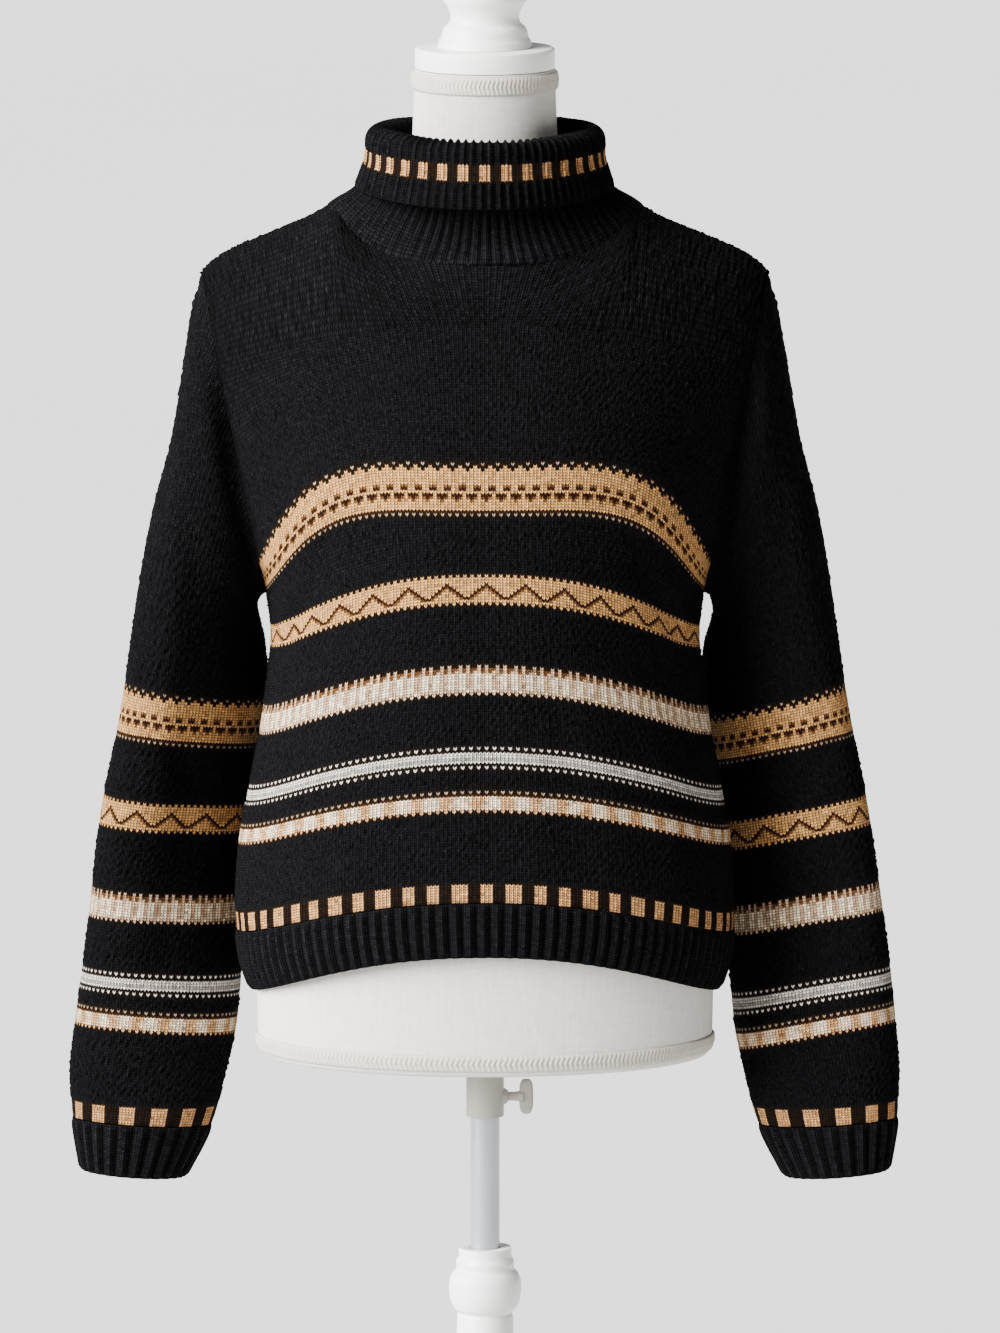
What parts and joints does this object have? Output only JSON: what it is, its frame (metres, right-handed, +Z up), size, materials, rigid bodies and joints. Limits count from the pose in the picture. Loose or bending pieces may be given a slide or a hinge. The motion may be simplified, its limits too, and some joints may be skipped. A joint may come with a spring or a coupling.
{
  "type": "turtleneck sweater on a dress form",
  "caption": "Chunky black knit turtleneck sweater with beige and cream fair-isle bands, worn by a limbless linen dress form on a turned white stand.",
  "frame": {"origin": "on the floor, under the axis of the pole and the column", "axes": "+Z up; the front of the form and the sweater faces -Y; the wearer's left is at +X"},
  "size_m": [0.6672, 0.4334, 1.7108],
  "materials": {
    "black_knit": "chunky knit, matt",
    "linen": "plain weave over a firm form",
    "braid": "woven braid",
    "white_paint": "satin white paint on turned and sawn wood",
    "grey_plastic": "moulded, satin",
    "coated_steel": "pale coated tube"
  },
  "bodies": {
    "stand": {"column": "white_paint", "leg_1": "white_paint", "leg_2": "white_paint", "leg_3": "white_paint", "leg_4": "white_paint"},
    "pole": {"pole": "coated_steel"},
    "form": {"torso": "linen", "neck_braid": "braid", "base_braid": "braid", "neck_disc": "white_paint", "finial": "white_paint", "clamp_collar": "grey_plastic", "front": "black_knit", "back": "black_knit", "sleeve_right": "black_knit", "sleeve_left": "black_knit", "cuff_right": "black_knit", "cuff_left": "black_knit", "hem_rib_front": "black_knit", "hem_rib_back": "black_knit", "collar": "black_knit"},
    "thumb_screw": {"thumb_screw": "grey_plastic"}
  },
  "joints": [
    {"name": "pole_turn", "type": "hinge", "parent": "stand", "child": "pole", "pos_m": [0, 0, 0.56], "axis": [0, 0, 1], "continuous": true},
    {"name": "form_height", "type": "slide", "parent": "pole", "child": "form", "axis": [0, 0, 1], "range_m": [-0.1, 0.15]},
    {"name": "screw_turn", "type": "hinge", "parent": "form", "child": "thumb_screw", "pos_m": [0.0275, 0, 0.7685], "axis": [1, 0, 0], "continuous": true}
  ]
}
